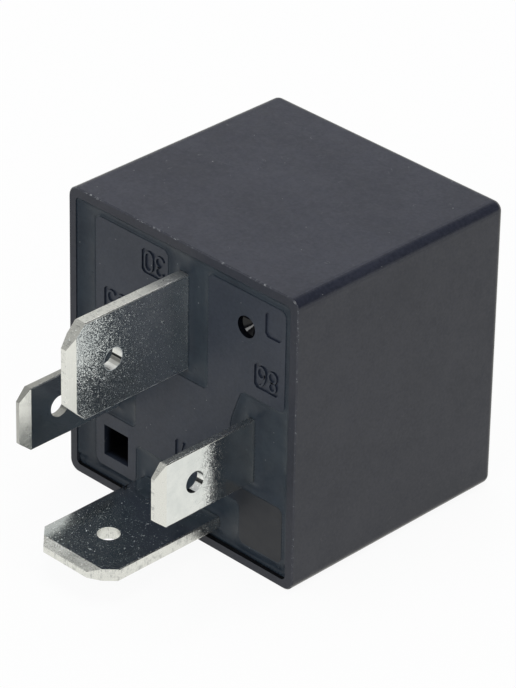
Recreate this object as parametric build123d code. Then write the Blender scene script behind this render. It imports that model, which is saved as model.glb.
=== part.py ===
from build123d import *

import os
from math import atan2, cos, degrees, radians, sin

# Automotive relay, four blade terminals, lying on one side of its cover.
# Relay frame: x to the right, y into the relay from the rim of the cover, z up,
# with z = 0 half way up the base. All sizes are in millimetres.

# Cover
COVER_WIDTH = 28.3
COVER_HEIGHT = 29.3
COVER_DEPTH = 25.7
COVER_WALL = 0.9
COVER_END_WALL = 1.2
COVER_DRAFT = 0.3
DEPTH_EDGE_RADIUS = 1.1
END_EDGE_RADIUS = 0.8
RIM_EDGE_BREAK = 0.12
CAVITY_CORNER_RADIUS = 0.5
STOP_RIB = 1.3

# Base plate
BASE_FIT = 0.1
PLATFORM_Y = 0.35
COMPOUND_Y = 0.6
CHANNEL_Y = 1.6
BASE_INNER_Y = 3.4
CHANNEL_LEFT = 2.25
CHANNEL_RIGHT = 0.85
CHANNEL_TOP = 1.05
CHANNEL_BOTTOM = 1.15
PLATFORM_CORNER = 0.4
SWITCH_POCKET_LEFT = 1.35
SWITCH_POCKET_RIGHT = 2.5
SWITCH_POCKET_LOW = 1.0
COIL_POCKET_SIDE = 0.9
COIL_POCKET_SLANT = 1.3
COIL_POCKET_TOP = 2.25
COIL_POCKET_LOW = 1.25
CONTACT_POCKET_LEFT = 1.15
CONTACT_POCKET_RIGHT = 2.45
CONTACT_POCKET_TOP = 2.7
SLOT_FIT = 0.05
VENT_FROM_SIDE = 5.55
VENT_FROM_TOP = 4.4
VENT_MOUTH_RADIUS = 1.05
VENT_MOUTH_DEPTH = 0.6
VENT_CONE_DEPTH = 0.8
VENT_THROAT_RADIUS = 0.25
SQUARE_WELL_FROM_BLADE = 3.7
SQUARE_WELL_FROM_BOTTOM = 3.85
SQUARE_WELL_SIZE = 3.1
SQUARE_WELL_WALL = 0.8
SQUARE_WELL_DEPTH = 5.2
LABEL_WIDTH = 2.96
LABEL_HEIGHT = 2.45
LABEL_DEPTH = 0.16
LABEL_CORNER = 0.3
BLANK_LABEL_WIDTH = 2.0
BLANK_LABEL_FROM_VENT = 3.25
SWITCH_LABEL_LEFT = 3.75
SWITCH_LABEL_UP = 3.9
LEFT_COIL_LABEL_UP = 7.45
RIGHT_COIL_LABEL_OUT = 1.7
RIGHT_COIL_LABEL_UP = 7.75
CONTACT_LABEL_RIGHT = 0.6
CONTACT_LABEL_UP = 5.1
BASE_RIB = 1.0
BASE_RIB_INSET = 1.0
BASE_INNER_RIB_X = 2.2
BASE_RIB_GAP = 0.6

# Blades
BLADE_EDGE_RADIUS = 0.12
LARGE_BLADE_WIDTH = 9.5
LARGE_BLADE_THICKNESS = 1.2
LARGE_BLADE_TIP_Y = -13.7
LARGE_BLADE_CUT_LENGTH = 2.0
LARGE_BLADE_CUT_WIDTH = 2.0
LARGE_BLADE_BEVEL = 0.95
LARGE_BLADE_TIP_THICKNESS = 0.6
LARGE_BLADE_HOLE_Y = -8.5
SMALL_BLADE_WIDTH = 6.3
SMALL_BLADE_THICKNESS = 0.8
SMALL_BLADE_TIP_Y = -11.35
SMALL_BLADE_CUT_LENGTH = 1.25
SMALL_BLADE_CUT_WIDTH = 1.05
SMALL_BLADE_BEVEL = 1.25
SMALL_BLADE_TIP_THICKNESS = 0.4
SMALL_BLADE_HOLE_Y = -6.75
BLADE_HOLE_RADIUS = 1.05
SWITCH_BLADE_FROM_TOP = 7.0
CONTACT_BLADE_FROM_BOTTOM = 1.85
COIL_BLADE_FROM_SIDE = 4.75
COIL_BLADE_Z = -2.6
SHOULDER_STEP = 0.5
SHOULDER_HEIGHT = 1.2
TAG_WIDTH = 1.6
TAG_PAST_FLANGE = 2.0
FOOT_PAST_YOKE = 0.6
SHEET_BEND = 0.4
RISER_WIDTH = 6.0
SHELF_REACH = 4.6

# Coil, core and yoke
CORE_SHARE = 0.5
CORE_STUB_STEP = 1.0
POLE_LIP = 1.5
POLE_THICKNESS = 1.2
BOBBIN_FIT = 0.05
BOBBIN_TUBE_WALL = 0.7
BOBBIN_FLANGE = 1.0
BOBBIN_TO_TAG = 0.7
BOBBIN_TO_YOKE = 0.4
BOBBIN_TO_SHELF = 3.2
BOBBIN_CORNER = 1.5
WINDING_INSET = 0.4
WINDING_GAP = 0.05
YOKE_THICKNESS = 1.6
YOKE_INSET = 0.4
YOKE_TO_COVER = 1.35
POLE_TO_COVER = 5.4
HINGE_HORN_WIDTH = 1.4
HINGE_HORN_HEIGHT = 1.0
LEAD_RADIUS = 0.15
LEAD_SIDES = 6
LEAD_START = 0.6
LEAD_START_ANGLE = -53
LEAD_FIT = 0.04
LEAD_TURNS = 3
LEAD_PITCH = 0.42

# Armature, contact spring and contacts
ARMATURE_THICKNESS = 1.6
ARMATURE_INSET = 1.0
ARMATURE_TIP_SHARE = 0.6
ARMATURE_PAST_BOBBIN = 0.2
HINGE_SIDE_FIT = 0.2
POLE_GAP = 0.04
LEAF_THICKNESS = 0.25
LEAF_BEND = 0.9
LEAF_SHARE = 0.7
LEAF_ARM_HALF_WIDTH = 2.6
LEAF_FOOT_DROP = 9.5
LEAF_KNEE_DROP = 2.7
LEAF_KNEE_OUT = 0.65
LEAF_KNEE_SLOPE = 1.6
LEAF_KNEE_TOP_RISE = 0.7
LEAF_KNEE_WINDOW = 1.5
LEAF_ARM_TAPER = 4.0
LEAF_LAND_FROM_HINGE = 1.5
LEAF_PAST_CONTACT = 2.1
RIVET_RADIUS = 0.8
RIVET_HEAD_RADIUS = 1.25
RIVET_HEAD_HEIGHT = 0.5
RIVET_BEVEL_SHARE = 0.6
YOKE_RIVET_SHARE = 0.4
YOKE_RIVET_FROM_FOOT = 2.0
ARMATURE_RIVET_SHARE = 0.45
ARMATURE_RIVET_FROM_HINGE = 3.8
CONTACT_FROM_BLADE = 2.0
CONTACT_RADIUS = 1.6
CONTACT_SHANK_RADIUS = 0.8
CONTACT_HEIGHT = 0.9
CONTACT_BEVEL = 0.2
CONTACT_TAIL_RADIUS = 1.1
CONTACT_TAIL_HEIGHT = 0.35
CONTACT_GAP = 0.9
TOUCH_GAP = 0.04

# Backstop and shunt braid
STOP_THICKNESS = 0.6
STOP_WIDTH = 2.6
STOP_SIDE_GAP = 0.2
STOP_GAP = 0.1
STOP_SOCKET_DEPTH = 1.2
STOP_SOCKET_WALL = 0.7
STOP_SOCKET_HEIGHT = 2.0
STOP_HOOK_REACH = 5.2
BRAID_RADIUS = 0.8
BRAID_FROM_SIDE = 2.85
BRAID_SIDES = 8
BRAID_BEND = 2.2
BRAID_ARM_GAP = 0.2

# Values worked out from the sizes above
CAVITY_WIDTH = COVER_WIDTH - 2 * COVER_WALL
CAVITY_HEIGHT = COVER_HEIGHT - 2 * COVER_WALL
CAVITY_DEPTH = COVER_DEPTH - COVER_END_WALL
SWITCH_BLADE_Z = CAVITY_HEIGHT / 2 - SWITCH_BLADE_FROM_TOP
CONTACT_BLADE_Z = CONTACT_BLADE_FROM_BOTTOM - CAVITY_HEIGHT / 2
COIL_BLADE_X = CAVITY_WIDTH / 2 - COIL_BLADE_FROM_SIDE
VENT_X = CAVITY_WIDTH / 2 - VENT_FROM_SIDE
VENT_Z = CAVITY_HEIGHT / 2 - VENT_FROM_TOP
SQUARE_WELL_X = -LARGE_BLADE_WIDTH / 2 - SQUARE_WELL_FROM_BLADE
SQUARE_WELL_Z = SQUARE_WELL_FROM_BOTTOM - CAVITY_HEIGHT / 2
RISER_OUTER_Z = CONTACT_BLADE_Z - LARGE_BLADE_THICKNESS / 2
CONTACT_Z = CONTACT_BLADE_Z + CONTACT_FROM_BLADE
YOKE_BACK_Z = CAVITY_HEIGHT / 2 - YOKE_TO_COVER
YOKE_INNER_Z = YOKE_BACK_Z - YOKE_THICKNESS
COIL_ROOM_ACROSS = 2 * (COIL_BLADE_X - SMALL_BLADE_THICKNESS / 2 - BOBBIN_TO_TAG)
COIL_ROOM_UP = YOKE_INNER_Z - BOBBIN_TO_YOKE - (RISER_OUTER_Z + SHELF_REACH + BOBBIN_TO_SHELF)
BOBBIN_SIDE = min(COIL_ROOM_ACROSS, COIL_ROOM_UP)
COIL_Z = YOKE_INNER_Z - BOBBIN_TO_YOKE - BOBBIN_SIDE / 2
YOKE_FOOT_LOW_Z = COIL_Z - BOBBIN_SIDE / 2
WINDING_RADIUS = BOBBIN_SIDE / 2 - WINDING_INSET
CORE_RADIUS = WINDING_RADIUS * CORE_SHARE
CORE_STUB_RADIUS = CORE_RADIUS - CORE_STUB_STEP
POLE_RADIUS = CORE_RADIUS + POLE_LIP
POLE_FACE_Y = CAVITY_DEPTH - POLE_TO_COVER
YOKE_HALF_WIDTH = BOBBIN_SIDE / 2 - YOKE_INSET
SWITCH_FOOT_Y = BASE_INNER_Y + SHEET_BEND
YOKE_FOOT_Y = SWITCH_FOOT_Y + LARGE_BLADE_THICKNESS
FLANGE_LOW_Y = YOKE_FOOT_Y + YOKE_THICKNESS
WINDING_LOW_Y = FLANGE_LOW_Y + BOBBIN_FLANGE
POLE_BACK_Y = POLE_FACE_Y - POLE_THICKNESS
WINDING_HIGH_Y = POLE_BACK_Y - BOBBIN_FLANGE
TAG_END_Y = WINDING_LOW_Y + TAG_PAST_FLANGE
ARMATURE_HALF_WIDTH = YOKE_HALF_WIDTH - ARMATURE_INSET
ARMATURE_TIP_HALF_WIDTH = ARMATURE_HALF_WIDTH * ARMATURE_TIP_SHARE
ARMATURE_RIVET_X = ARMATURE_HALF_WIDTH * ARMATURE_RIVET_SHARE
YOKE_RIVET_X = ARMATURE_HALF_WIDTH * YOKE_RIVET_SHARE
LEAF_HALF_WIDTH = ARMATURE_HALF_WIDTH * LEAF_SHARE
ARMATURE_TIP_Z = YOKE_FOOT_LOW_Z - ARMATURE_PAST_BOBBIN
ARMATURE_RIVET_Z = YOKE_BACK_Z - ARMATURE_RIVET_FROM_HINGE
LEAF_FOOT_Y = POLE_FACE_Y - LEAF_FOOT_DROP
LEAF_KNEE_LOW_Y = POLE_FACE_Y - LEAF_KNEE_DROP
LEAF_LAND_Z = YOKE_BACK_Z - LEAF_LAND_FROM_HINGE
LEAF_TIP_Z = CONTACT_Z - LEAF_PAST_CONTACT
YOKE_RIVET_Y = LEAF_FOOT_Y + YOKE_RIVET_FROM_FOOT
ARMATURE_LOW_Y = POLE_FACE_Y + POLE_GAP
ARMATURE_TOP_Y = ARMATURE_LOW_Y + ARMATURE_THICKNESS
ARM_TOP_Y = ARMATURE_TOP_Y + LEAF_THICKNESS
SHELF_TOP_Y = ARMATURE_TOP_Y - 2 * CONTACT_HEIGHT - TOUCH_GAP
OPEN_ANGLE = degrees(atan2(CONTACT_GAP, YOKE_BACK_Z - CONTACT_Z))
STOP_Y = ARM_TOP_Y + CONTACT_TAIL_HEIGHT + CONTACT_GAP + STOP_GAP
STOP_X = LARGE_BLADE_WIDTH / 2 + SHOULDER_STEP + STOP_SIDE_GAP + STOP_SOCKET_WALL
FOOT_LENGTH = YOKE_HALF_WIDTH + FOOT_PAST_YOKE
BRAID_SIDE_X = CAVITY_WIDTH / 2 - BRAID_FROM_SIDE


def block(x0, x1, y0, y1, z0, z1):
    """Block between two opposite corners."""
    return Pos((x0 + x1) / 2, (y0 + y1) / 2, (z0 + z1) / 2) * Box(x1 - x0, y1 - y0, z1 - z0)


def plate(sketch, y0, y1):
    """Solid from an (x, z) outline, standing from y0 to y1."""
    return extrude(Plane.XZ.offset(-y0) * sketch, amount=y1 - y0, dir=(0, 1, 0))


def across(sketch, x0, x1):
    """Solid from a (y, z) outline, standing from x0 to x1."""
    return extrude(Plane.YZ.offset(x0) * sketch, amount=x1 - x0, dir=(1, 0, 0))


def upright(sketch, z0, z1):
    """Solid from an (x, y) outline, standing from z0 to z1."""
    return extrude(Plane.XY.offset(z0) * sketch, amount=z1 - z0, dir=(0, 0, 1))


def rod(radius, x, z, y0, y1):
    """Round bar along y."""
    return plate(Pos(x, z) * Circle(radius), y0, y1)


def window(x0, x1, z0, z1):
    """Rectangle in an (x, z) outline, between two opposite corners."""
    return Pos((x0 + x1) / 2, (z0 + z1) / 2) * Rectangle(x1 - x0, z1 - z0)


def bent_profile(points, radius, thickness, side=Side.LEFT):
    """Section of a bent strip: a rounded line thickened to one side."""
    line = FilletPolyline(*points, radius=radius)
    return make_face(offset(line, amount=thickness, side=side))


def opened(y, z):
    """Where a point of the closed armature lies when the relay is at rest."""
    turn = radians(OPEN_ANGLE)
    up, back = y - ARMATURE_LOW_Y, z - YOKE_BACK_Z
    return (
        ARMATURE_LOW_Y + up * cos(turn) - back * sin(turn),
        YOKE_BACK_Z + up * sin(turn) + back * cos(turn),
    )


def at_rest(shape):
    """Turn a piece of the closed armature about its hinge edge to the open rest position."""
    axis = Axis((0, ARMATURE_LOW_Y, YOKE_BACK_Z), (1, 0, 0))
    return shape.rotate(axis, OPEN_ANGLE)


# Cover
def tapered_can(width, height, radius, depth):
    """Block that narrows from the rim inwards by the mould's draft."""
    mouth = Plane(origin=(0, 0, 0), x_dir=(1, 0, 0), z_dir=(0, 1, 0))
    outline = mouth * RectangleRounded(width, height, radius)
    return extrude(outline, amount=depth, taper=COVER_DRAFT)


def make_cavity():
    return tapered_can(CAVITY_WIDTH, CAVITY_HEIGHT, CAVITY_CORNER_RADIUS, CAVITY_DEPTH)


def make_cover():
    body = tapered_can(COVER_WIDTH, COVER_HEIGHT, DEPTH_EDGE_RADIUS, COVER_DEPTH)
    body = fillet(body.faces().sort_by(Axis.Y)[-1].edges(), END_EDGE_RADIUS)
    body = chamfer(body.faces().sort_by(Axis.Y)[0].edges(), RIM_EDGE_BREAK)
    ribs = Part()
    for side in (-1, 1):
        for level in (-1, 1):
            x = side * CAVITY_WIDTH / 2
            z = level * CAVITY_HEIGHT / 2
            reach = window(x - STOP_RIB, x + STOP_RIB, z - STOP_RIB, z + STOP_RIB)
            ribs += plate(reach, BASE_INNER_Y, COVER_DEPTH)
    return body - (make_cavity() - ribs)


# Terminals
def large_blade(root_y):
    return make_blade(
        LARGE_BLADE_WIDTH, LARGE_BLADE_THICKNESS, LARGE_BLADE_TIP_Y, root_y,
        LARGE_BLADE_CUT_LENGTH, LARGE_BLADE_CUT_WIDTH, LARGE_BLADE_BEVEL,
        LARGE_BLADE_TIP_THICKNESS, LARGE_BLADE_HOLE_Y,
    )


def small_blade(root_y):
    return make_blade(
        SMALL_BLADE_WIDTH, SMALL_BLADE_THICKNESS, SMALL_BLADE_TIP_Y, root_y,
        SMALL_BLADE_CUT_LENGTH, SMALL_BLADE_CUT_WIDTH, SMALL_BLADE_BEVEL,
        SMALL_BLADE_TIP_THICKNESS, SMALL_BLADE_HOLE_Y,
    )


def make_blade(
    width, thickness, tip_y, root_y, cut_length, cut_width, bevel, tip_thickness, hole_y
):
    """Upright blade on x = 0, z = 0: cut corners, bevelled tip, rounded edges and a hole."""
    half = width / 2
    outline = Polygon(
        (root_y, -half), (tip_y + cut_length, -half), (tip_y, -half + cut_width),
        (tip_y, half - cut_width), (tip_y + cut_length, half), (root_y, half),
        align=None,
    )
    slab = across(outline, -thickness / 2, thickness / 2)
    slab = fillet(slab.edges().filter_by(Axis.Y), min(BLADE_EDGE_RADIUS, thickness / 4))
    tip = min(tip_thickness, thickness) / 2
    section = Polygon(
        (-thickness / 2, root_y), (-thickness / 2, tip_y + bevel), (-tip, tip_y),
        (tip, tip_y), (thickness / 2, tip_y + bevel), (thickness / 2, root_y),
        align=None,
    )
    slab &= upright(section, -half, half)
    return slab - across(Pos(hole_y, 0) * Circle(BLADE_HOLE_RADIUS), -thickness, thickness)


def make_terminal_30():
    """Large upright blade whose inner end is bent over into a foot under the yoke."""
    half = LARGE_BLADE_THICKNESS / 2
    blade = large_blade(CHANNEL_Y)
    line = [(-half, CHANNEL_Y), (-half, YOKE_FOOT_Y), (FOOT_LENGTH, YOKE_FOOT_Y)]
    bend = bent_profile(line, SHEET_BEND + LARGE_BLADE_THICKNESS, LARGE_BLADE_THICKNESS, Side.RIGHT)
    foot = upright(bend, -LARGE_BLADE_WIDTH / 2, LARGE_BLADE_WIDTH / 2)
    return Pos(0, 0, SWITCH_BLADE_Z) * (blade + foot)


def make_terminal_87():
    """Large flat blade with a riser inside, bent over into the fixed contact's shelf."""
    blade = Rot(0, 90, 0) * large_blade(BASE_INNER_Y)
    blade = Pos(0, 0, CONTACT_BLADE_Z) * blade
    shoulder = LARGE_BLADE_WIDTH / 2 + SHOULDER_STEP
    low, high = RISER_OUTER_Z, RISER_OUTER_Z + LARGE_BLADE_THICKNESS
    top = BASE_INNER_Y + SHOULDER_HEIGHT
    body = blade + block(-shoulder, shoulder, BASE_INNER_Y, top, low, high)
    line = [(top, low), (SHELF_TOP_Y, low), (SHELF_TOP_Y, low + SHELF_REACH)]
    riser = bent_profile(line, SHEET_BEND + LARGE_BLADE_THICKNESS, LARGE_BLADE_THICKNESS)
    body += across(riser, -RISER_WIDTH / 2, RISER_WIDTH / 2)
    return body - rod(CONTACT_SHANK_RADIUS, 0, CONTACT_Z, WINDING_LOW_Y, COVER_DEPTH)


def make_coil_terminal(side):
    """Small upright blade with a shouldered root and a narrow tag for the coil's wire."""
    half = SMALL_BLADE_THICKNESS / 2
    shoulder = SMALL_BLADE_WIDTH / 2 + SHOULDER_STEP
    top = BASE_INNER_Y + SHOULDER_HEIGHT
    body = small_blade(BASE_INNER_Y)
    body += block(-half, half, BASE_INNER_Y, top, -shoulder, shoulder)
    body += block(-half, half, top, TAG_END_Y, -TAG_WIDTH / 2, TAG_WIDTH / 2)
    return Pos(side * COIL_BLADE_X, 0, COIL_BLADE_Z) * body


# Base plate and sealing compound
def blade_slot(x, z, size_x, size_z):
    """Through slot for a blade, with its fit all round."""
    return block(
        x - size_x / 2 - SLOT_FIT, x + size_x / 2 + SLOT_FIT, -1, BASE_INNER_Y + 1,
        z - size_z / 2 - SLOT_FIT, z + size_z / 2 + SLOT_FIT,
    )


def platform_outline():
    """Raised faces of the base, less the pockets round the blades, as an (x, z) outline."""
    half_x, half_z = CAVITY_WIDTH / 2, CAVITY_HEIGHT / 2
    field = window(
        CHANNEL_LEFT - half_x, half_x - CHANNEL_RIGHT, CHANNEL_BOTTOM - half_z, half_z - CHANNEL_TOP
    )
    top = CAVITY_HEIGHT
    # Pocket round the upright large blade, open to the channel above it
    half = LARGE_BLADE_THICKNESS / 2
    low = SWITCH_BLADE_Z - LARGE_BLADE_WIDTH / 2 - SWITCH_POCKET_LOW
    field -= window(-half - SWITCH_POCKET_LEFT, half + SWITCH_POCKET_RIGHT, low, top)
    # Pockets round the two small blades, open to the side, with a slanted inner edge
    outer = COIL_BLADE_X - SMALL_BLADE_THICKNESS / 2 - COIL_POCKET_SIDE
    inner = outer - COIL_POCKET_SLANT
    blade_high = COIL_BLADE_Z + SMALL_BLADE_WIDTH / 2
    high = blade_high + COIL_POCKET_TOP
    low = COIL_BLADE_Z - SMALL_BLADE_WIDTH / 2 - COIL_POCKET_LOW
    for side in (-1, 1):
        field -= Polygon(
            (side * top, high), (side * outer, high), (side * inner, blade_high - COIL_POCKET_SLANT),
            (side * inner, low), (side * top, low),
            align=None,
        )
    # Pocket along the flat large blade, open to the channel below it
    half = LARGE_BLADE_WIDTH / 2
    high = CONTACT_BLADE_Z + LARGE_BLADE_THICKNESS / 2 + CONTACT_POCKET_TOP
    field -= window(-half - CONTACT_POCKET_LEFT, half + CONTACT_POCKET_RIGHT, -top, high)
    return chamfer(field.vertices(), PLATFORM_CORNER)


def label_places():
    """Middle (x, z) and width of each sunk label field on the platforms."""
    return [
        (-SWITCH_LABEL_LEFT, SWITCH_BLADE_Z + SWITCH_LABEL_UP, LABEL_WIDTH),
        (-COIL_BLADE_X, COIL_BLADE_Z + LEFT_COIL_LABEL_UP, LABEL_WIDTH),
        (COIL_BLADE_X + RIGHT_COIL_LABEL_OUT, COIL_BLADE_Z + RIGHT_COIL_LABEL_UP, LABEL_WIDTH),
        (CONTACT_LABEL_RIGHT, CONTACT_BLADE_Z + CONTACT_LABEL_UP, LABEL_WIDTH),
        (VENT_X + BLANK_LABEL_FROM_VENT, SWITCH_BLADE_Z + SWITCH_LABEL_UP, BLANK_LABEL_WIDTH),
    ]


def make_base_plate():
    outline = RectangleRounded(
        CAVITY_WIDTH - 2 * BASE_FIT, CAVITY_HEIGHT - 2 * BASE_FIT, CAVITY_CORNER_RADIUS
    )
    slab = plate(outline, CHANNEL_Y, BASE_INNER_Y)
    slab += plate(platform_outline(), PLATFORM_Y, CHANNEL_Y)
    for x, z, width in label_places():
        field = chamfer(Rectangle(width, LABEL_HEIGHT).vertices(), LABEL_CORNER)
        slab -= plate(Pos(x, z) * field, PLATFORM_Y - 1, PLATFORM_Y + LABEL_DEPTH)
    # Well behind the square hole
    outer = SQUARE_WELL_SIZE + 2 * SQUARE_WELL_WALL
    well = Pos(SQUARE_WELL_X, SQUARE_WELL_Z) * Rectangle(outer, outer)
    slab += plate(well, BASE_INNER_Y, PLATFORM_Y + SQUARE_WELL_DEPTH + SQUARE_WELL_WALL)
    hole = Pos(SQUARE_WELL_X, SQUARE_WELL_Z) * Rectangle(SQUARE_WELL_SIZE, SQUARE_WELL_SIZE)
    slab -= plate(hole, -1, PLATFORM_Y + SQUARE_WELL_DEPTH)
    # Vent: a short bore, a funnel and a narrow throat
    cone_y = PLATFORM_Y + VENT_MOUTH_DEPTH
    cone = Cone(VENT_MOUTH_RADIUS, VENT_THROAT_RADIUS, VENT_CONE_DEPTH)
    slab -= rod(VENT_MOUTH_RADIUS, VENT_X, VENT_Z, PLATFORM_Y - 1, cone_y)
    slab -= Pos(VENT_X, cone_y + VENT_CONE_DEPTH / 2, VENT_Z) * Rot(-90, 0, 0) * cone
    slab -= rod(VENT_THROAT_RADIUS, VENT_X, VENT_Z, cone_y, BASE_INNER_Y + 1)
    # Ribs that carry the foot of the yoke
    outer_rib_x = YOKE_HALF_WIDTH - BASE_RIB_INSET
    clear_of_foot = SWITCH_BLADE_Z - LARGE_BLADE_WIDTH / 2 - BASE_RIB_GAP
    ribs = [
        (-outer_rib_x, YOKE_BACK_Z), (-BASE_INNER_RIB_X, YOKE_BACK_Z),
        (BASE_INNER_RIB_X, clear_of_foot), (outer_rib_x, clear_of_foot),
    ]
    for x, high in ribs:
        rib = window(x - BASE_RIB / 2, x + BASE_RIB / 2, YOKE_FOOT_LOW_Z, high)
        slab += plate(rib, BASE_INNER_Y, YOKE_FOOT_Y)
    # Socket of the backstop
    wall = STOP_SOCKET_WALL
    socket_top = BASE_INNER_Y + STOP_SOCKET_HEIGHT
    back, front = RISER_OUTER_Z, RISER_OUTER_Z + STOP_THICKNESS
    left, right = stop_strip_sides()
    slab += block(left - wall, right + wall, BASE_INNER_Y, socket_top, back - wall, front + wall)
    slab -= block(
        left - SLOT_FIT, right + SLOT_FIT, BASE_INNER_Y - STOP_SOCKET_DEPTH, socket_top + 1,
        back - SLOT_FIT, front + SLOT_FIT,
    )
    # Slots for the blades
    slab -= blade_slot(0, SWITCH_BLADE_Z, LARGE_BLADE_THICKNESS, LARGE_BLADE_WIDTH)
    slab -= blade_slot(0, CONTACT_BLADE_Z, LARGE_BLADE_WIDTH, LARGE_BLADE_THICKNESS)
    for side in (-1, 1):
        slab -= blade_slot(side * COIL_BLADE_X, COIL_BLADE_Z, SMALL_BLADE_THICKNESS, SMALL_BLADE_WIDTH)
    return slab


def make_sealing_compound(terminals):
    """Poured layer that fills the channel and the pockets up to its own level."""
    layer = make_cavity() & block(
        -COVER_WIDTH, COVER_WIDTH, COMPOUND_Y, CHANNEL_Y, -COVER_HEIGHT, COVER_HEIGHT
    )
    layer -= plate(platform_outline(), COMPOUND_Y, CHANNEL_Y)
    for terminal in terminals:
        layer -= terminal
    return layer


# Coil and magnet frame
def make_yoke():
    """Foot under the coil and a back leg, bent from one strip, with horns beside the hinge."""
    line = [(YOKE_FOOT_Y, YOKE_FOOT_LOW_Z), (YOKE_FOOT_Y, YOKE_BACK_Z), (POLE_FACE_Y, YOKE_BACK_Z)]
    section = bent_profile(line, SHEET_BEND + YOKE_THICKNESS, YOKE_THICKNESS, Side.RIGHT)
    body = across(section, -YOKE_HALF_WIDTH, YOKE_HALF_WIDTH)
    for side in (-1, 1):
        outer, inner = side * YOKE_HALF_WIDTH, side * (YOKE_HALF_WIDTH - HINGE_HORN_WIDTH)
        body += block(
            min(outer, inner), max(outer, inner), POLE_FACE_Y, POLE_FACE_Y + HINGE_HORN_HEIGHT,
            YOKE_INNER_Z, YOKE_BACK_Z,
        )
        body -= yoke_rivet_bar(side, RIVET_RADIUS)
    return body - rod(CORE_STUB_RADIUS, 0, COIL_Z, YOKE_FOOT_Y - 1, FLANGE_LOW_Y + 1)


def make_core():
    """Soft iron core: pole head, stem and a stub riveted in the foot of the yoke."""
    body = rod(CORE_STUB_RADIUS, 0, COIL_Z, YOKE_FOOT_Y, FLANGE_LOW_Y)
    body += rod(CORE_RADIUS, 0, COIL_Z, FLANGE_LOW_Y, POLE_BACK_Y)
    return body + rod(POLE_RADIUS, 0, COIL_Z, POLE_BACK_Y, POLE_FACE_Y)


def make_bobbin():
    """Moulded spool with square flanges."""
    bore = CORE_RADIUS + BOBBIN_FIT
    flange = Pos(0, COIL_Z) * RectangleRounded(BOBBIN_SIDE, BOBBIN_SIDE, BOBBIN_CORNER)
    body = plate(flange, FLANGE_LOW_Y, WINDING_LOW_Y)
    body += plate(flange, WINDING_HIGH_Y, POLE_BACK_Y)
    body += rod(bore + BOBBIN_TUBE_WALL, 0, COIL_Z, WINDING_LOW_Y, WINDING_HIGH_Y)
    return body - rod(bore, 0, COIL_Z, FLANGE_LOW_Y - 1, POLE_BACK_Y + 1)


def make_coil_winding():
    low, high = WINDING_LOW_Y + WINDING_GAP, WINDING_HIGH_Y - WINDING_GAP
    bore = CORE_RADIUS + BOBBIN_FIT + BOBBIN_TUBE_WALL + WINDING_GAP
    return rod(WINDING_RADIUS, 0, COIL_Z, low, high) - rod(bore, 0, COIL_Z, low - 1, high + 1)


def make_coil_lead(side):
    """Wire from the winding to a tag, with turns wrapped round the tag."""
    off = LEAD_RADIUS + LEAD_FIT
    half_x = SMALL_BLADE_THICKNESS / 2 + off
    half_z = TAG_WIDTH / 2 + off
    start_y = WINDING_LOW_Y + LEAD_START
    reach = WINDING_RADIUS + off
    angle = radians(LEAD_START_ANGLE)
    points = [
        (side * reach * cos(angle), start_y, COIL_Z + reach * sin(angle)),
        (side * (COIL_BLADE_X - half_x), start_y, COIL_BLADE_Z + half_z),
    ]
    corners = [(half_x, half_z), (half_x, -half_z), (-half_x, -half_z), (-half_x, half_z)]
    for turn in range(LEAD_TURNS * len(corners)):
        dx, dz = corners[turn % len(corners)]
        y = start_y + LEAD_PITCH * (turn + 1) / len(corners)
        points.append((side * (COIL_BLADE_X + dx), y, COIL_BLADE_Z + dz))
    path = Polyline(*points)
    section = Plane(origin=path @ 0, z_dir=path % 0) * RegularPolygon(LEAD_RADIUS, LEAD_SIDES)
    return sweep(section, path=path, transition=Transition.RIGHT)


# Armature, contact spring and contacts
def make_armature():
    """Flat iron plate that rocks on the end of the yoke between its horns."""
    hinge = YOKE_HALF_WIDTH - HINGE_HORN_WIDTH - HINGE_SIDE_FIT
    neck = YOKE_INNER_Z - HINGE_SIDE_FIT
    taper_z = COIL_Z - POLE_RADIUS
    outline = Polygon(
        (-hinge, YOKE_BACK_Z), (hinge, YOKE_BACK_Z), (hinge, neck), (ARMATURE_HALF_WIDTH, neck),
        (ARMATURE_HALF_WIDTH, taper_z), (ARMATURE_TIP_HALF_WIDTH, ARMATURE_TIP_Z),
        (-ARMATURE_TIP_HALF_WIDTH, ARMATURE_TIP_Z), (-ARMATURE_HALF_WIDTH, taper_z),
        (-ARMATURE_HALF_WIDTH, neck), (-hinge, neck),
        align=None,
    )
    body = plate(outline, ARMATURE_LOW_Y, ARMATURE_TOP_Y)
    for side in (-1, 1):
        body -= armature_rivet_bar(side, RIVET_RADIUS)
    return at_rest(body)


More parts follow.
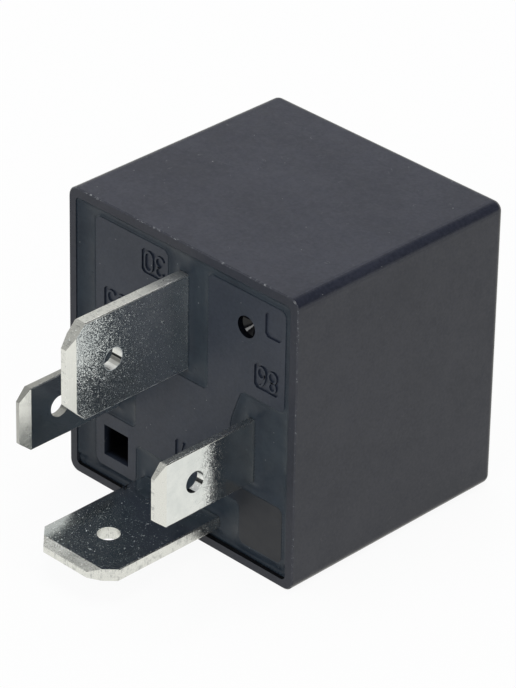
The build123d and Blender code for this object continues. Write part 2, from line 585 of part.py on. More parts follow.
def make_contact_spring():
    """Leaf riveted to the back of the yoke, over the hinge and along the armature."""
    out_z = YOKE_BACK_Z + LEAF_KNEE_OUT
    top_y = ARM_TOP_Y + LEAF_KNEE_TOP_RISE
    line = [
        (LEAF_FOOT_Y, YOKE_BACK_Z),
        (LEAF_KNEE_LOW_Y, YOKE_BACK_Z),
        (LEAF_KNEE_LOW_Y + LEAF_KNEE_SLOPE, out_z),
        (top_y, out_z),
        opened(ARMATURE_TOP_Y, LEAF_LAND_Z),
        opened(ARMATURE_TOP_Y, LEAF_TIP_Z),
    ]
    section = bent_profile(line, LEAF_BEND, LEAF_THICKNESS)
    body = across(section, -LEAF_HALF_WIDTH, LEAF_HALF_WIDTH)
    # Window that splits the knee into two straps
    body -= block(
        -LEAF_KNEE_WINDOW, LEAF_KNEE_WINDOW, LEAF_KNEE_LOW_Y, COVER_DEPTH, LEAF_LAND_Z, COVER_HEIGHT / 2
    )
    # The arm narrows past the armature
    low, wide_z = -COVER_HEIGHT / 2, ARMATURE_TIP_Z + LEAF_ARM_TAPER
    for side in (-1, 1):
        notch = Polygon(
            (side * LEAF_ARM_HALF_WIDTH, ARMATURE_TIP_Z), (side * LEAF_ARM_HALF_WIDTH, low),
            (side * COVER_WIDTH, low), (side * COVER_WIDTH, wide_z), (side * LEAF_HALF_WIDTH, wide_z),
            align=None,
        )
        body -= plate(notch, POLE_FACE_Y, COVER_DEPTH)
        body -= yoke_rivet_bar(side, RIVET_RADIUS)
        body -= at_rest(armature_rivet_bar(side, RIVET_RADIUS))
    return body - at_rest(rod(CONTACT_SHANK_RADIUS, 0, CONTACT_Z, POLE_FACE_Y, COVER_DEPTH))


def yoke_rivet_bar(side, radius):
    """Bar along z where a rivet passes through the yoke and the leaf."""
    circle = Pos(side * YOKE_RIVET_X, YOKE_RIVET_Y) * Circle(radius)
    return upright(circle, YOKE_INNER_Z, YOKE_BACK_Z + LEAF_THICKNESS)


def armature_rivet_bar(side, radius):
    """Bar along y where a rivet passes through the closed armature and the leaf."""
    return rod(radius, side * ARMATURE_RIVET_X, ARMATURE_RIVET_Z, ARMATURE_LOW_Y, ARM_TOP_Y)


def rivet_head(base, radius, height):
    """Low bevelled head that stands on a plane, along its normal."""
    head = extrude(base * Circle(radius), amount=height)
    rim = head.edges().filter_by(GeomType.CIRCLE).sort_by(Axis(base.origin, base.z_dir))[-1]
    return chamfer(rim, height * RIVET_BEVEL_SHARE)


def make_yoke_rivets():
    rivets = Part()
    for side in (-1, 1):
        top = (side * YOKE_RIVET_X, YOKE_RIVET_Y, YOKE_BACK_Z + LEAF_THICKNESS)
        head = rivet_head(Plane(origin=top, z_dir=(0, 0, 1)), RIVET_HEAD_RADIUS, RIVET_HEAD_HEIGHT)
        rivets += yoke_rivet_bar(side, RIVET_RADIUS) + head
    return rivets


def make_armature_rivets():
    rivets = Part()
    for side in (-1, 1):
        top = (side * ARMATURE_RIVET_X, ARM_TOP_Y, ARMATURE_RIVET_Z)
        head = rivet_head(Plane(origin=top, z_dir=(0, 1, 0)), RIVET_HEAD_RADIUS, RIVET_HEAD_HEIGHT)
        rivets += armature_rivet_bar(side, RIVET_RADIUS) + head
    return at_rest(rivets)


def contact_rivet(face_y, shank_y, direction):
    """Contact rivet on the contact axis: bevelled face, shank and flat tail."""
    seat = face_y - direction * CONTACT_HEIGHT
    face = Plane(origin=(0, seat, CONTACT_Z), z_dir=(0, direction, 0))
    disc = extrude(face * Circle(CONTACT_RADIUS), amount=CONTACT_HEIGHT)
    rim = disc.edges().filter_by(GeomType.CIRCLE).sort_by(Axis(face.origin, face.z_dir))[-1]
    disc = chamfer(rim, CONTACT_BEVEL)
    shank = rod(CONTACT_SHANK_RADIUS, 0, CONTACT_Z, min(seat, shank_y), max(seat, shank_y))
    tail_y = shank_y - direction * CONTACT_TAIL_HEIGHT
    tail = rod(CONTACT_TAIL_RADIUS, 0, CONTACT_Z, min(shank_y, tail_y), max(shank_y, tail_y))
    return disc + shank + tail


def make_fixed_contact():
    face_y = SHELF_TOP_Y + CONTACT_HEIGHT
    return contact_rivet(face_y, SHELF_TOP_Y - LARGE_BLADE_THICKNESS, 1)


def make_moving_contact():
    face_y = ARMATURE_TOP_Y - CONTACT_HEIGHT
    return at_rest(contact_rivet(face_y, ARM_TOP_Y, -1))


# Backstop and braid
def stop_strip_sides():
    """Left and right side of the backstop's upright strip."""
    return STOP_X, STOP_X + STOP_WIDTH


def make_backstop():
    """Bracket that stands in the base and hooks over the contact arm."""
    left, right = stop_strip_sides()
    foot_y = BASE_INNER_Y - STOP_SOCKET_DEPTH
    line = [
        (foot_y, RISER_OUTER_Z),
        (STOP_Y + STOP_THICKNESS, RISER_OUTER_Z),
        (STOP_Y + STOP_THICKNESS, RISER_OUTER_Z + STOP_HOOK_REACH),
    ]
    section = bent_profile(line, SHEET_BEND + STOP_THICKNESS, STOP_THICKNESS)
    body = across(section, left, right)
    inner_z = RISER_OUTER_Z + STOP_THICKNESS + SHEET_BEND
    hook = window(-CONTACT_RADIUS, right, inner_z, RISER_OUTER_Z + STOP_HOOK_REACH)
    return body + plate(hook, STOP_Y, STOP_Y + STOP_THICKNESS)


def make_shunt_braid():
    """Braid from the foot of the switch terminal to the end of the contact arm."""
    foot_y = SWITCH_FOOT_Y + LARGE_BLADE_THICKNESS / 2
    arm_y, arm_z = opened(ARM_TOP_Y + BRAID_RADIUS, ARMATURE_TIP_Z)
    points = [
        (FOOT_LENGTH, foot_y, SWITCH_BLADE_Z),
        (BRAID_SIDE_X, foot_y, SWITCH_BLADE_Z),
        (BRAID_SIDE_X, arm_y + BRAID_ARM_GAP, arm_z),
        (LEAF_ARM_HALF_WIDTH, arm_y + BRAID_ARM_GAP, arm_z),
    ]
    path = FilletPolyline(*points, radius=BRAID_BEND)
    section = Plane(origin=path @ 0, z_dir=path % 0) * RegularPolygon(BRAID_RADIUS, BRAID_SIDES)
    return sweep(section, path=path)


def build_relay():
    terminal_30 = make_terminal_30()
    terminal_85 = make_coil_terminal(-1)
    terminal_86 = make_coil_terminal(1)
    terminal_87 = make_terminal_87()
    terminals = [terminal_30, terminal_85, terminal_86, terminal_87]
    return {
        "cover": make_cover(),
        "base_plate": make_base_plate(),
        "sealing_compound": make_sealing_compound(terminals),
        "terminal_30": terminal_30,
        "terminal_85": terminal_85,
        "terminal_86": terminal_86,
        "terminal_87": terminal_87,
        "yoke": make_yoke(),
        "core": make_core(),
        "bobbin": make_bobbin(),
        "coil_winding": make_coil_winding(),
        "coil_lead_85": make_coil_lead(-1),
        "coil_lead_86": make_coil_lead(1),
        "armature": make_armature(),
        "armature_rivets": make_armature_rivets(),
        "contact_spring": make_contact_spring(),
        "yoke_rivets": make_yoke_rivets(),
        "moving_contact": make_moving_contact(),
        "fixed_contact": make_fixed_contact(),
        "backstop": make_backstop(),
        "shunt_braid": make_shunt_braid(),
    }


# The origin is under the middle of the whole length, on the surface the relay lies on.
middle_y = (COVER_DEPTH + LARGE_BLADE_TIP_Y) / 2
place = Pos(0, -middle_y, COVER_HEIGHT / 2)
os.makedirs("parts", exist_ok=True)
for name, shape in build_relay().items():
    export_step(place * shape, f"parts/{name}.step")
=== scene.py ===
import math

import bmesh
import bpy
from mathutils import Matrix, Vector, noise
from mathutils.geometry import delaunay_2d_cdt, intersect_point_line
from mathutils.kdtree import KDTree


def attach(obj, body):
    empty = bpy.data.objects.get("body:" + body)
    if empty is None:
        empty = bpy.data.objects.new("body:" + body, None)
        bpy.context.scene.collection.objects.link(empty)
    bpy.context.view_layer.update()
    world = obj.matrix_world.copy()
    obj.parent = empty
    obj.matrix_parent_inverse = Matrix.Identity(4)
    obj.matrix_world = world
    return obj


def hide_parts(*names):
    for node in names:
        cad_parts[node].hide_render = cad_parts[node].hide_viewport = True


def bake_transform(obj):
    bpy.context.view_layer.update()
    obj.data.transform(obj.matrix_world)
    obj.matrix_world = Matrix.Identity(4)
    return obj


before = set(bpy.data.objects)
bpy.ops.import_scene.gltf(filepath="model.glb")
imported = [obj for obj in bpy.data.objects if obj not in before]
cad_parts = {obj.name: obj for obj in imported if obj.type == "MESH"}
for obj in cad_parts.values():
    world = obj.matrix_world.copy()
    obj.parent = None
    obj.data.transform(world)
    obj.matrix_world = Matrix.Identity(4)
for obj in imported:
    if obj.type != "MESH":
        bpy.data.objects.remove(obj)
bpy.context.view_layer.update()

MM = 0.001

# Places that follow the source, in millimetres in the shared frame
RELAY_Y = -6.0
RELAY_Z = 14.65
RIM_Y = RELAY_Y
PLATFORM_Y = RELAY_Y + 0.35
COMPOUND_Y = RELAY_Y + 0.6
LABEL_FLOOR_Y = PLATFORM_Y + 0.16
VENT = (7.7, 9.35 + RELAY_Z)
WELL = (-8.45, -9.9 + RELAY_Z)
HOLE_30 = (RELAY_Y - 8.5, RELAY_Z + 6.75)
HOLE_86 = (RELAY_Y - 6.75, RELAY_Z - 2.6)
BLADE_30_LOW_Z = RELAY_Z + 2.0
LARGE_BLADE_HALF_WIDTH = 4.75

# Radii of the zones round the bores, in millimetres
VENT_ZONE = 1.1
WELL_ZONE = 2.4
BORE_ZONE = 1.25
BURR_ZONE = 1.12

# Colours, linear
COVER_TONES = (0.0205, 0.0229, 0.0350), (0.0310, 0.0338, 0.0492)
# Painted light: lighter, greyer tones for the cover's right side
LIT_FLANK_TONES = (0.0285, 0.0308, 0.0395), (0.0375, 0.0395, 0.0480)
BASE_TONES = (0.0165, 0.0222, 0.0360), (0.0240, 0.0306, 0.0480)
SPOOL_TONES = (0.060, 0.050, 0.040), (0.085, 0.072, 0.060)
RESIN_TONES = (0.0125, 0.0200, 0.0320), (0.0205, 0.0310, 0.0450)
DUST = (0.33, 0.34, 0.34)
RESIN_DUST = (0.30, 0.32, 0.33)
WORN_RIM = (0.33, 0.34, 0.35)
SOFT_SHADE = (0.008, 0.009, 0.012)
LIP_SHADE = (0.006, 0.009, 0.015)
WALL_SHADE = (0.003, 0.003, 0.004)
UNLIT = (0.002, 0.002, 0.003)
SCRATCH = (0.92, 0.95, 0.95)
STAIN = (0.30, 0.31, 0.32)
# Burnish with painted white reflection, for the walls of the blades' holes
BURNISH_AND_REFLECTION = (0.95, 0.96, 0.94)
MIRRORED_DARK = (0.015, 0.017, 0.020)
ZINC_TONES = (0.50, 0.49, 0.43), (0.66, 0.65, 0.60)
IRON_TONES = (0.52, 0.52, 0.50), (0.70, 0.70, 0.68)
BRASS_TONES = (0.60, 0.43, 0.17), (0.76, 0.58, 0.27)
BRONZE_TONES = (0.62, 0.37, 0.19), (0.78, 0.51, 0.29)
SILVER_TONES = (0.68, 0.67, 0.63), (0.86, 0.85, 0.82)
ENAMEL_TONES = (0.40, 0.13, 0.05), (0.58, 0.22, 0.09)
WINDING_TONES = (0.42, 0.13, 0.045), (0.62, 0.24, 0.09)
WINDING_SHADE = (0.10, 0.03, 0.012)
COPPER_TONES = (0.66, 0.28, 0.15), (0.82, 0.42, 0.26)
COPPER_SHADE = (0.20, 0.07, 0.035)
WHITE = (1.0, 1.0, 1.0)
WARM_PAPER = (1.0, 0.99, 0.93)
FLOOR_PAPER = (0.70, 0.70, 0.70)
FILL_LIGHT = (0.97, 0.985, 1.0)


def metres(x, y, z):
    return Vector((x * MM, y * MM, z * MM))


# Node helpers
class Nodes:
    """Short calls that add nodes to one tree."""

    def __init__(self, tree):
        self.tree = tree

    def node(self, kind, **settings):
        made = self.tree.nodes.new(kind)
        for key, value in settings.items():
            setattr(made, key, value)
        return made

    def link(self, source, target):
        self.tree.links.new(source, target)

    def feed(self, value, target):
        """Sets an input from a number, a vector, a colour or another node's output."""
        if isinstance(value, bpy.types.NodeSocket):
            self.link(value, target)
        elif isinstance(value, tuple) and len(value) == 3 and len(target.default_value) == 4:
            target.default_value = (*value, 1)
        else:
            target.default_value = value

    def calculate(self, operation, first, second=0.0):
        made = self.node("ShaderNodeMath", operation=operation)
        self.feed(first, made.inputs[0])
        self.feed(second, made.inputs[1])
        return made.outputs[0]

    def add(self, first, second):
        return self.calculate("ADD", first, second)

    def less(self, first, second):
        return self.calculate("SUBTRACT", first, second)

    def times(self, first, second):
        return self.calculate("MULTIPLY", first, second)

    def most(self, first, second):
        return self.calculate("MAXIMUM", first, second)

    def map(self, value, low, high, to_low=0.0, to_high=1.0):
        made = self.node("ShaderNodeMapRange", interpolation_type="SMOOTHSTEP")
        self.feed(value, made.inputs["Value"])
        made.inputs["From Min"].default_value = low
        made.inputs["From Max"].default_value = high
        made.inputs["To Min"].default_value = to_low
        made.inputs["To Max"].default_value = to_high
        return made.outputs["Result"]

    def mix(self, factor, first, second):
        made = self.node("ShaderNodeMix", data_type="RGBA")
        self.feed(factor, made.inputs["Factor"])
        self.feed(first, made.inputs[6])
        self.feed(second, made.inputs[7])
        return made.outputs[2]

    def part(self, vector, letter):
        made = self.node("ShaderNodeSeparateXYZ")
        self.link(vector, made.inputs[0])
        return made.outputs[letter]

    def vectors(self, operation, first, second):
        made = self.node("ShaderNodeVectorMath", operation=operation)
        self.link(first, made.inputs[0])
        self.feed(second, made.inputs[1])
        return made

    def scaled(self, vector, scale):
        made = self.node("ShaderNodeVectorMath", operation="SCALE")
        self.link(vector, made.inputs[0])
        self.feed(scale, made.inputs["Scale"])
        return made.outputs[0]


class Paint(Nodes):
    """Builds one procedural material. All lengths that it takes are in millimetres."""

    def __init__(self, name):
        self.material = bpy.data.materials.new(name)
        self.material.use_nodes = True
        super().__init__(self.material.node_tree)
        self.shader = self.tree.nodes["Principled BSDF"]
        coords = self.node("ShaderNodeTexCoord")
        self.place = self.scaled(coords.outputs["Object"], 1 / MM)

    def tint(self, share, colour):
        """Lays a colour over what the material has so far."""
        self.colour = self.mix(share, self.colour, colour)

    def stretched(self, x, y, z):
        return self.vectors("MULTIPLY", self.place, (x, y, z)).outputs[0]

    def noise(self, size, detail=3.0, roughness=0.5, place=None, distortion=0.0):
        """Soft clouds of about one size, from 0 to 1."""
        made = self.node("ShaderNodeTexNoise")
        self.link(place or self.place, made.inputs["Vector"])
        made.inputs["Scale"].default_value = 1 / size
        made.inputs["Detail"].default_value = detail
        made.inputs["Roughness"].default_value = roughness
        made.inputs["Distortion"].default_value = distortion
        return made.outputs["Fac"]

    def cells(self, size, place=None):
        made = self.node("ShaderNodeTexVoronoi")
        self.link(place or self.place, made.inputs["Vector"])
        made.inputs["Scale"].default_value = 1 / size
        return made

    def wave(self, scale, distortion, place=None, **settings):
        made = self.node("ShaderNodeTexWave", wave_type="BANDS", **settings)
        self.link(place or self.place, made.inputs["Vector"])
        made.inputs["Scale"].default_value = scale
        made.inputs["Distortion"].default_value = distortion
        return made

    def axis(self, letter):
        return self.part(self.place, letter)

    def facing(self, letter):
        """How far the surface faces along one axis, with its sign."""
        shape = self.node("ShaderNodeNewGeometry")
        return self.part(shape.outputs["True Normal"], letter)

    def turned(self, letter):
        """How far the surface faces along one axis, either way."""
        return self.calculate("ABSOLUTE", self.facing(letter))

    def from_line(self, axes, centre):
        """Both distances from a line that is square to two axes."""
        return (self.less(self.axis(letter), middle) for letter, middle in zip(axes, centre))

    def near_line(self, axes, centre, radius):
        """1 within a radius of a line that is square to two axes, 0 elsewhere."""
        across, up = self.from_line(axes, centre)
        distance = self.add(self.times(across, across), self.times(up, up))
        return self.map(distance, (radius * 1.02) ** 2, (radius * 0.98) ** 2)

    def bands(self, axes, centre, bands, soft=2):
        """Bands on the wall of a bore, each (start, end, share) in degrees round its axis."""
        across, up = self.from_line(axes, centre)
        angle = self.calculate("DIVIDE", self.calculate("ARCTAN2", up, across), math.pi / 180)
        level = 0.0
        for start, end, share in bands:
            after_start = self.map(angle, start - soft, start + soft)
            band = self.times(after_start, self.map(angle, end + soft, end - soft))
            level = self.most(level, self.times(band, share))
        return level

    def specks(self, cell, radius, share):
        """Sparse round dots: 1 inside a dot, 0 elsewhere."""
        made = self.cells(cell)
        near = self.map(made.outputs["Distance"], radius / cell, radius / cell * 0.6)
        colour = self.node("ShaderNodeSeparateColor")
        self.link(made.outputs["Color"], colour.inputs[0])
        return self.times(near, self.map(colour.outputs[0], 1 - share, 1 - share + 0.01))

    def strokes(self, size, width, share):
        """Short bent strokes: 1 on a stroke, 0 elsewhere."""
        level = self.less(self.noise(size, 2, 0.5), 0.5)
        line = self.map(self.calculate("ABSOLUTE", level), width, width * 0.4)
        patch = self.noise(size * 0.8, 2, 0.5, place=self.stretched(1.3, -1.1, 1.2))
        return self.times(line, self.map(patch, 1 - share, 1 - share + 0.05))

    def dust(self, fine_share):
        """Fine dots of dust, and fewer coarse ones."""
        fine = self.specks(cell=0.5, radius=0.055, share=fine_share)
        return self.most(fine, self.specks(cell=1.7, radius=0.085, share=0.10))

    def bump(self, height, distance, under=None):
        """Raised where the height is more, or sunk there if the distance is negative."""
        made = self.node("ShaderNodeBump", invert=distance < 0)
        self.link(height, made.inputs["Height"])
        made.inputs["Distance"].default_value = abs(distance) * MM
        if under:
            self.link(under, made.inputs["Normal"])
        return made.outputs["Normal"]

    def facets(self, size, tilt, under):
        """Small facets, each turned its own way, so that a mirror breaks up into grain."""
        spot = self.vectors("ADD", self.place, self.wobble(0.4 * size)).outputs[0]
        made = self.cells(size, spot)
        turn = self.vectors("SUBTRACT", made.outputs["Color"], (0.5, 0.5, 0.5)).outputs[0]
        tilted = self.vectors("ADD", under, self.scaled(turn, tilt)).outputs[0]
        unit = self.node("ShaderNodeVectorMath", operation="NORMALIZE")
        self.link(tilted, unit.inputs[0])
        return unit.outputs[0]

    def wobble(self, size):
        """Small vector offset that varies from place to place."""
        made = self.node("ShaderNodeTexNoise")
        self.link(self.place, made.inputs["Vector"])
        made.inputs["Scale"].default_value = 1 / size
        return self.scaled(made.outputs["Color"], size)

    def finish(self, colour, roughness, normal=None, metallic=0.0, specular=0.5, coat=0.0):
        self.feed(colour, self.shader.inputs["Base Color"])
        self.feed(roughness, self.shader.inputs["Roughness"])
        self.feed(metallic, self.shader.inputs["Metallic"])
        self.shader.inputs["Specular IOR Level"].default_value = specular
        self.shader.inputs["Coat Weight"].default_value = coat
        if normal:
            self.link(normal, self.shader.inputs["Normal"])
        return self.material


# Plastics and resin
class Plastic(Paint):
    """Satin moulded plastic with faint flow marks, fine grain, lint and dust."""

    def __init__(self, name, tones, roughness):
        super().__init__(name)
        slow = self.times(self.noise(5.5, 4, 0.55), 0.5)
        fine = self.times(self.noise(0.3, 3, 0.6), 0.8)
        self.clouds = self.map(self.add(slow, fine), 0.47, 0.83)
        self.colour = self.mix(self.clouds, *tones)
        lint = self.strokes(size=1.6, width=0.010, share=0.34)
        dust = self.most(self.dust(fine_share=0.07), self.times(lint, 0.30))
        self.tint(self.times(dust, 0.5), DUST)
        finish = self.noise(1.4, 4, 0.6)
        self.roughness = self.map(finish, 0.3, 0.7, roughness - 0.05, roughness + 0.06)

    def moulded(self, specular):
        grain = self.bump(self.noise(0.16, 3, 0.6), 0.004)
        normal = self.bump(self.noise(3.2, 2, 0.4), 0.03, grain)
        return self.finish(self.colour, self.roughness, normal, specular=specular)


def rim_wear(paint):
    """A pale line along the rim's chamfer, with chips in loose patches."""
    front = paint.facing("Y")
    chamfer = paint.times(paint.map(front, -0.95, -0.85), paint.map(front, -0.35, -0.5))
    line = paint.times(chamfer, paint.map(paint.axis("Y"), RIM_Y + 0.5, RIM_Y + 0.3))
    chips = paint.map(paint.noise(0.30, 5, 0.75), 0.54, 0.66)
    chips = paint.times(chips, paint.map(paint.noise(1.9, 3, 0.6), 0.40, 0.58))
    return paint.times(line, paint.add(0.08, chips))


def rounded_edges(paint):
    """1 where the surface faces along none of the axes."""
    widest = paint.most(paint.turned("X"), paint.turned("Z"))
    return paint.map(paint.most(widest, paint.turned("Y")), 0.99, 0.96)


def low_rim_wall(paint):
    """1 on the upper side of the cover's low wall, near its rim."""
    height = paint.axis("Z")
    level = paint.times(paint.map(height, 3.0, 2.5), paint.map(height, 0.3, 0.5))
    return paint.times(level, paint.map(paint.facing("Z"), 0.5, 0.7))


def cover_plastic():
    """Painted light makes the right side lighter and greyer; painted shade darkens the lip and the low
    wall's upper side, and a painted dark reflection the rounded edges, which are also smoother.
    """
    paint = Plastic("satin_cover", COVER_TONES, 0.42)
    flank = paint.map(paint.facing("X"), 0.90, 0.98)
    # Painted light on the cover's side that faces right
    paint.tint(paint.times(flank, 0.7), paint.mix(paint.clouds, *LIT_FLANK_TONES))
    # Painted shade on the lip, the rim's end face
    lip = paint.map(paint.facing("Y"), -0.90, -0.97)
    paint.tint(paint.times(lip, 0.30), LIP_SHADE)
    paint.tint(rim_wear(paint), WORN_RIM)
    rounded = rounded_edges(paint)
    # Painted dark reflection on the rounded edges; their lower roughness is real
    paint.tint(paint.times(rounded, 0.25), SOFT_SHADE)
    paint.roughness = paint.add(paint.roughness, paint.times(rounded, -0.23))
    # Painted shade on the upper side of the low wall, inside the rim
    paint.tint(low_rim_wall(paint), WALL_SHADE)
    return paint.moulded(specular=0.25)


def base_plastic():
    """Painted shade darkens the low right corner, the vent's glossy wall and the square well, which is
    unlit.
    """
    paint = Plastic("satin_base", BASE_TONES, 0.40)
    # Painted shade over the low right corner
    low = paint.map(paint.axis("Z"), RELAY_Z - 4.5, RELAY_Z - 7.5)
    corner = paint.times(low, paint.map(paint.axis("X"), 5.0, 8.0))
    paint.tint(paint.times(corner, 0.78), SOFT_SHADE)
    depth = paint.axis("Y")
    in_vent = paint.map(depth, PLATFORM_Y + 0.02, PLATFORM_Y + 0.05)
    vent = paint.times(in_vent, paint.near_line("XZ", VENT, VENT_ZONE))
    in_well = paint.map(depth, PLATFORM_Y + 0.1, PLATFORM_Y + 0.9)
    well = paint.times(in_well, paint.near_line("XZ", WELL, WELL_ZONE))
    # Painted shade: the vent's wall and the square well are near black
    paint.tint(paint.most(paint.times(vent, 0.9), well), UNLIT)
    paint.roughness = paint.add(paint.roughness, paint.times(vent, -0.31))
    return paint.moulded(specular=0.30)


def poured_resin():
    """Smoother than the plastic, with slow waves, a few bubbles and dust."""
    paint = Paint("poured_resin")
    clouds = paint.add(paint.noise(3.5, 4, 0.6), paint.times(paint.noise(0.3, 3, 0.6), 0.4))
    paint.colour = paint.mix(paint.map(clouds, 0.52, 0.88), *RESIN_TONES)
    paint.tint(paint.times(paint.dust(fine_share=0.08), 0.5), RESIN_DUST)
    waves = paint.bump(paint.noise(2.6, 3, 0.5, distortion=0.4), 0.07)
    bubbles = paint.specks(cell=1.3, radius=0.11, share=0.12)
    roughness = paint.map(paint.noise(1.8, 3, 0.6), 0.3, 0.7, 0.32, 0.46)
    return paint.finish(paint.colour, roughness, paint.bump(bubbles, 0.04, waves), specular=0.27)


# Tin
class TinSheet(Paint):
    """Tin plate on brass: faces with grain and scratches, worked bevels and sheared edges."""

    # Stretch of the lines through the sheet on its cuts, and along the tip on its bevels
    LINES = {
        "X": ((0.4, 8.0, 8.0), (6.0, 9.0, 0.5)),
        "Z": ((8.0, 8.0, 0.4), (0.5, 9.0, 6.0)),
    }
    FACET_SIZE = 0.068
    FLAT, NEARLY_FLAT = 0.997, 0.990

    def __init__(self, name, sheet_axis, grain, scratches, worked):
        super().__init__(name)
        self.grain = grain
        self.flatness = self.turned(sheet_axis)
        self.off_face = self.map(self.flatness, self.FLAT, self.NEARLY_FLAT)
        self.cut = self.map(self.flatness, 0.75, 0.45)
        self.bevel = self.times(self.off_face, self.map(self.flatness, 0.60, 0.80))
        self.drawn_bevel = self.times(self.bevel, worked)
        self.marks = self.times(self.most(self.pits(), self.scores()), scratches)
        through, along = self.LINES[sheet_axis]
        self.shear = self.noise(1.0, 3, 0.7, place=self.stretched(*through))
        self.drawn = self.noise(1.0, 3, 0.7, place=self.stretched(*along))
        self.torn = self.noise(0.5, 4, 0.7)

    def pits(self):
        fine = self.specks(cell=0.17, radius=0.030, share=0.20)
        return self.most(self.times(fine, 0.6), self.specks(cell=1.0, radius=0.055, share=0.25))

    def scores(self):
        fine = self.strokes(size=0.24, width=0.03, share=0.42)
        return self.most(self.times(fine, 0.6), self.strokes(size=0.80, width=0.014, share=0.36))

    def plate(self, cool, cut_tone, bevel_tone):
        """Clouds on the faces, one tone on the cuts and one on the bevels, marks and stains."""
        clouds = self.map(self.noise(1.7, 4, 0.62), 0.3, 0.72)
        deep = (0.66 - cool, 0.69, 0.695 + cool)
        pale = (0.75 - cool, 0.775, 0.775 + cool)
        self.colour = self.mix(clouds, deep, pale)
        for edge, level in ((self.cut, cut_tone), (self.bevel, bevel_tone)):
            self.tint(edge, (level, level * 1.013, level * 0.987))
        self.tint(self.marks, SCRATCH)
        self.tint(self.times(self.stains(), 0.6), STAIN)

    def stains(self):
        """Dark streaks on the sheared cuts and the drawn bevels."""
        sheared = self.map(self.add(self.torn, self.times(self.shear, 0.6)), 0.80, 1.00)
        drawn = self.map(self.drawn, 0.45, 0.75)
        return self.most(self.times(self.cut, sheared), self.times(self.drawn_bevel, drawn))

    def film(self, haze):
        """A film of haze, heavier towards the root."""
        root = self.axis("Y")
        self.shine = self.map(root, RELAY_Y - 11.0, RELAY_Y - 4.0, 1.0 - 0.3 * haze, 1.0 - haze)

    def bore(self, centre, mirrored):
        """The hole's wall is burnished and carries painted reflection: painted white and less metallic,
        with a few painted dark bands.
        """
        wall = self.times(self.cut, self.near_line("YZ", centre, BORE_ZONE))
        dark = self.times(wall, self.bands("YZ", centre, mirrored))
        self.tint(self.times(wall, 0.8), BURNISH_AND_REFLECTION)
        self.tint(dark, MIRRORED_DARK)
        self.shine = self.less(self.shine, self.times(self.less(wall, dark), 0.45))

    def burr(self, low, centre):
        """Broken bright burr along the low edge of the face, and a ring of it round the hole."""
        face = self.map(self.flatness, 0.90, 0.99)
        line = self.times(self.map(self.axis("Z"), low + 0.17, low + 0.12), face)
        line = self.times(line, self.map(self.noise(0.8, 4, 0.7), 0.42, 0.60))
        ring = self.times(self.near_line("YZ", centre, BURR_ZONE), face)
        burr = self.most(line, self.times(ring, 0.7))
        self.shine = self.less(self.shine, self.times(burr, 0.6))

    def relief(self, bend):
        """Slow waves, a bend, ridges and marks, with facets in loose patches over them.

        bend is (axis, edge, end, height), so that the face bends from its edge to that end,
        and may go on with (axis, start, end), along which the bend comes in.
        """
        normal = self.bump(self.noise(0.9, 2, 0.5), 0.006)
        patches = self.noise(0.7, 5, 0.7)
        tilt = self.map(patches, 0.38, 0.66, 0.20 * self.grain, 0.42 * self.grain)
        if bend:
            letter, edge, end, height, *across = bend
            bent = self.map(self.axis(letter), edge, end, 1.0, 0.0)
            if across:
                bent = self.times(bent, self.map(self.axis(across[0]), *across[1:]))
            normal = self.bump(bent, height, normal)
            tilt = self.times(tilt, self.map(bent, 0.0, 0.8, 1.0, 0.35))
        sheared = self.times(self.cut, self.add(self.shear, self.torn))
        ridges = self.add(sheared, self.times(self.drawn_bevel, self.drawn))
        normal = self.bump(ridges, 0.014, self.bump(self.marks, 0.007, normal))
        on_face = self.map(self.flatness, self.FLAT, self.NEARLY_FLAT, 1.0, 0.2)
        return self.facets(self.FACET_SIZE, self.times(tilt, on_face), normal)

    def roughness(self):
        grain = self.grain
        rough = self.map(self.torn, 0.3, 0.7, 0.06 + 0.09 * grain, 0.13 + 0.11 * grain)
        rough = self.add(rough, self.times(self.most(self.cut, self.bevel), 0.14))
        return self.add(rough, self.times(self.marks, 0.25))


def tin(
    name, sheet_axis, grain, scratches, worked, haze=0.0, cool=0.02, cut_tone=0.735,
    bevel_tone=0.735, bend=None, hole=None, mirrored=(), burr_z=None,
):
    """One blade's tin. Its hole is a (y, z) centre, and burr_z the low edge of its face."""
    sheet = TinSheet(name, sheet_axis, grain, scratches, worked)
    sheet.plate(cool, cut_tone, bevel_tone)
    sheet.film(haze)
    if hole:
        sheet.bore(hole, mirrored)
    if burr_z:
        sheet.burr(burr_z, hole)
    return sheet.finish(sheet.colour, sheet.roughness(), sheet.relief(bend), metallic=sheet.shine)


# Other metals
def metal(name, tones, roughness, grain_size=0.2, depth=0.006, brushed=None):
    """Rolled or turned metal with light tarnish clouds and grain."""
    paint = Paint(name)
    place = paint.stretched(*brushed) if brushed else None
    grain = paint.noise(grain_size, 4, 0.65, place=place)
    colour = paint.mix(paint.map(paint.noise(1.6, 4, 0.6), 0.32, 0.7), *tones)
    finish = paint.map(grain, 0.3, 0.7, roughness - 0.06, roughness + 0.08)
    return paint.finish(colour, finish, paint.bump(grain, depth), metallic=1.0)


def wound_wire(name, pitch):
    """Enamelled copper wound in close turns along y."""
    paint = Paint(name)
    bands = paint.wave(math.tau / 20 / pitch, 0.25, bands_direction="Y", wave_profile="SIN")
    bands.inputs["Detail"].default_value = 1.0
    turns = bands.outputs["Fac"]
    tone = paint.mix(paint.noise(1.1, 3, 0.6), *WINDING_TONES)
    colour = paint.mix(paint.map(turns, 0.0, 0.5), WINDING_SHADE, tone)
    finish = paint.map(paint.noise(0.5, 3, 0.6), 0.3, 0.7, 0.24, 0.36)
    return paint.finish(colour, finish, paint.bump(turns, 0.06), metallic=0.85, coat=0.35)


